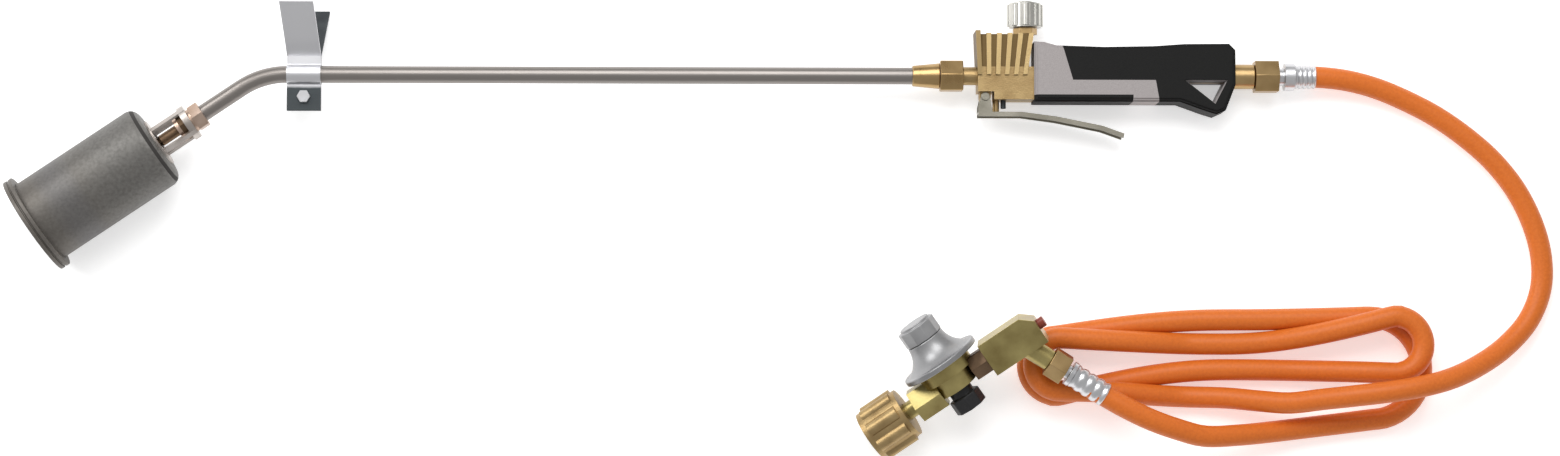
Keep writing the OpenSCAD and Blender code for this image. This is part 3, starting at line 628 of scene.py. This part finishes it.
def round_edges(piece, width, segments=2):
    """A bevel on every sharp edge, then normals that keep flat faces flat."""
    if width:
        bevel = piece.modifiers.new("rounded edges", "BEVEL")
        bevel.width = width
        bevel.segments = segments
        bevel.limit_method = "ANGLE"
        bevel.angle_limit = SHARP_ANGLE
        bevel.use_clamp_overlap = True
    piece.modifiers.new("even light", "WEIGHTED_NORMAL").keep_sharp = True


def finish_piece(node, finish, width=0.0003, segments=2):
    """A finished mesh in the place of a construction node."""
    source = frame["nodes"][node].data
    shape = bmesh.new()
    corners = [shape.verts.new(vertex.co) for vertex in source.vertices]
    for face in source.polygons:
        try:
            shape.faces.new([corners[index] for index in face.vertices])
        except ValueError:
            continue
    bmesh.ops.remove_doubles(shape, verts=shape.verts, dist=WELD_GAP)
    bmesh.ops.dissolve_degenerate(shape, edges=shape.edges, dist=SLIVER)
    bmesh.ops.dissolve_limit(shape, angle_limit=FLAT_ANGLE, verts=shape.verts, edges=shape.edges)
    bmesh.ops.recalc_face_normals(shape, faces=shape.faces)
    mesh = bpy.data.meshes.new(node)
    shape.to_mesh(mesh)
    shape.free()
    piece = add_piece(node + "_finished", mesh, finish, node)
    round_edges(piece, width, segments)
    return piece


print("construction nodes that ride on a body:", len(body_of_node))

# %% [markdown]
# The table below lists the finish of each piece and how far its edges are rounded. Cast and moulded
# pieces get wide edges; turned and drilled ones get narrow ones.

# %% Finish the torch
TORCH_FINISHES = [
    ("heated_steel", 0.0004, ["burner_cup", "flame_holder"]),
    ("heated_steel", 0.0022, ["mouth_rim"]),
    ("pale_steel", 0.0003, ["burner_cage"]),
    ("tarnished_brass", 0.0004, ["cage_nut", "jet"]),
    ("pale_copper", 0.0004, ["jet_holder"]),
    ("neck_steel", 0.0, ["neck_tube"]),
    ("stand_zinc", 0.0003, ["stand_plate_near"]),
    ("bright_zinc", 0.0003, ["stand_bolt", "stand_nut", "handle_screws"]),
    # The far stand plate is painted near-black as shade, beside the bright near plate.
    ("black_oxide_and_painted_shade", 0.0003, ["stand_plate_far", "lever_stop"]),
    ("machined_brass", 0.0003, ["tube_collar", "push_pin", "gas_tube", "stem_gland"]),
    ("machined_brass", 0.0006, ["cone_sleeve", "union_nut", "rear_nipple", "hose_nut"]),
    ("cast_brass", 0.0007, ["valve_body"]),
    ("ribbed_brass", 0.0005, ["ribbed_housing"]),
    ("satin_nickel", 0.0005, ["flow_knob", "knob_cap"]),
    ("lever_steel", 0.0002, ["lever", "lever_pin"]),
    ("satin_nickel", 0.0002, ["needle_stem"]),
    ("grey_shell", 0.0012, ["handle_shell_near", "handle_shell_far"]),
    ("black_grip", 0.0014, ["grip", "underside_strip"]),
    ("seal_rubber", 0.0002, ["stem_seal", "poppet_seal"]),
    ("bright_zinc", 0.0002, ["hose_tail"]),
]
for finish, width, nodes in TORCH_FINISHES:
    for node in nodes:
        finish_piece(node, finish, width, 4 if width > 0.001 else 2)

# %% [markdown]
# The pieces of the regulator are listed in the same way. Its brass is greener than that of the
# torch, and its bonnet and knob are painted grey.

# %% Finish the regulator
REGULATOR_FINISHES = [
    ("bright_zinc", 0.0002, ["reg_hose_tail", "adjusting_screw"]),
    ("machined_brass", 0.0006, ["reg_hose_nut"]),
    ("green_brass", 0.0008, ["safety_block"]),
    ("green_brass", 0.0006, ["regulator_body", "inlet_nipple"]),
    ("cast_brass", 0.0009, ["cylinder_nut"]),
    ("red_button", 0.0006, ["reset_button"]),
    ("tarnished_brass", 0.0005, ["outlet_gland"]),
    ("seal_rubber", 0.0002, ["diaphragm", "inlet_seal"]),
    ("grey_paint", 0.0007, ["bonnet", "adjusting_knob"]),
    ("drawn_wire", 0.0, ["regulator_spring"]),
    ("black_cap", 0.0008, ["relief_cap"]),
]
for finish, width, nodes in REGULATOR_FINISHES:
    for node in nodes:
        finish_piece(node, finish, width)

# %% [markdown]
# ## Crimped ferrules
#
# The ferrules are pressed onto the hose, which leaves a row of grooves round them. A closed outline
# of radius and distance is turned about the hose's own line.

# %% Turn the ferrules
FERRULE_GAP = 0.00005
ROLLED_DEPTH = 0.0005
PRESS_DEPTH = 0.0009
END_LENGTH = 0.0006


def turned_mesh(name, outline, start, way, around=72):
    """Turns a closed outline of (radius, distance) pairs about a line."""
    side = way.orthogonal().normalized()
    other = way.cross(side)
    shape = bmesh.new()
    rings = []
    for step in range(around):
        angle = 2 * pi * step / around
        out = cos(angle) * side + sin(angle) * other
        rings.append([shape.verts.new(start + distance * way + radius * out)
                      for radius, distance in outline])
    for ring, following in zip(rings, rings[1:] + rings[:1]):
        for index in range(len(outline)):
            after = (index + 1) % len(outline)
            shape.faces.new((ring[index], ring[after], following[after], following[index]))
    bmesh.ops.recalc_face_normals(shape, faces=shape.faces)
    mesh = bpy.data.meshes.new(name)
    shape.to_mesh(mesh)
    shape.free()
    return mesh


def ferrule(node, start, way, length, radius, grooves=4):
    """A sleeve with rolled ends and pressed grooves."""
    bore = HOSE_R + FERRULE_GAP
    outline = [(bore, length), (bore, 0.0), (radius - ROLLED_DEPTH, 0.0)]
    steps = grooves * 10
    for step in range(steps + 1):
        share = step / steps
        press = (0.5 - 0.5 * cos(2 * pi * grooves * share)) ** 2
        outline.append((radius - PRESS_DEPTH * press, END_LENGTH + share * (length - 2 * END_LENGTH)))
    outline.append((radius - ROLLED_DEPTH, length))
    piece = add_piece(node + "_crimped", turned_mesh(node, outline, start, way), "bright_zinc", node)
    round_edges(piece, 0.0)


def along_line(node, start, way):
    """How far along a line a construction node begins and ends, and its radius about that line."""
    places = [vertex.co - start for vertex in frame["nodes"][node].data.vertices]
    distances = [place.dot(way) for place in places]
    radius = max((place - place.dot(way) * way).length for place in places)
    return min(distances), max(distances), radius


for node, start, way in (("hose_ferrule", torch_start, torch_x), ("reg_ferrule", outlet_at, outlet_way)):
    first, last, radius = along_line(node, start, way)
    ferrule(node, start + first * way, way, last - first, radius)
    print(node, "is", round(1000 * (last - first), 1), "mm long and",
          round(1000 * radius, 1), "mm in radius")

# %% [markdown]
# ## Two springs
#
# Two springs sit at joints: the valve's spring at the push pin, which opens the valve, and the
# button's spring at the button. Each is finished like the other pieces and gets a mesh of its own,
# and its length at rest is measured along its own line.

# %% Finish the springs
for node, joint, way, fixed_last, travel in (
        ("valve_spring", "push_pin_slide", torch_y, True, 0.0017),
        ("reset_spring", "reset_push", inlet_way, False, 0.0032)):
    spring = finish_piece(node, "drawn_wire", 0.0)
    first, last, _ = along_line(node, inlet_at, way)
    fixed_end = inlet_at + (last if fixed_last else first) * way
    1 - travel / (last - first)
    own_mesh(spring)
    print(node, "is", round(1000 * (last - first), 1), "mm long at rest")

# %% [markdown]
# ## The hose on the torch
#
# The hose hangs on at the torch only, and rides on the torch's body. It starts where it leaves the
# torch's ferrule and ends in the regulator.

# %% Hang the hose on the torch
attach(hose, "torch")
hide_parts("hose_run", "hose_coil", "hose_end")

ferrule_end = along_line("hose_ferrule", torch_start, torch_x)[1]
tuple(on_torch(ferrule_end))

# %% [markdown]
# ## Light and floor
#
# A pale floor and two large soft lamps, one high behind the torch and one from the upper left. The
# high lamp draws a bright line along every tube. The floor glows a little, so that the shadows on it
# stay pale, and the sky is darker than the floor, so that the metals keep their depth.

# %% Set the light and the floor
world = bpy.data.worlds.new("sky")
world.use_nodes = True
sky = next(n for n in world.node_tree.nodes if n.type == "BACKGROUND")
sky.inputs["Color"].default_value = (1, 1, 1, 1)
sky.inputs["Strength"].default_value = 0.55
bpy.context.scene.world = world


def soft_lamp(name, place, target, size, power):
    """A large square lamp that faces a point."""
    data = bpy.data.lights.new(name, "AREA")
    data.shape = "SQUARE"
    data.size = size
    data.energy = power
    lamp = bpy.data.objects.new(name, data)
    lamp.location = place
    lamp.rotation_euler = (Vector(target) - Vector(place)).to_track_quat("-Z", "Y").to_euler()
    bpy.context.scene.collection.objects.link(lamp)


soft_lamp("high lamp", (0.1, 1.2, 1.8), (0.09, -0.07, 0), 1.4, 26)
soft_lamp("upper left lamp", (-1.5, 0.9, 1.4), (0.05, -0.05, 0), 1.0, 18)

FLOOR_HALF = 4.0
FLOOR_Z = -0.0003
floor_shape = bmesh.new()
floor_corners = [floor_shape.verts.new((x * FLOOR_HALF, y * FLOOR_HALF, FLOOR_Z))
                 for x, y in ((-1, -1), (1, -1), (1, 1), (-1, 1))]
floor_shape.faces.new(floor_corners)
floor_mesh = bpy.data.meshes.new("floor")
floor_shape.to_mesh(floor_mesh)
floor_shape.free()
floor_paint = Finish("floor_paint", (0.92, 0.92, 0.92), 0.9,
                     Emission_Color=(1, 1, 1), Emission_Strength=0.45)
floor_mesh.materials.append(floor_paint.material)
floor = bpy.data.objects.new("floor", floor_mesh)
bpy.context.scene.collection.objects.link(floor)
print("lamps and floor are set")
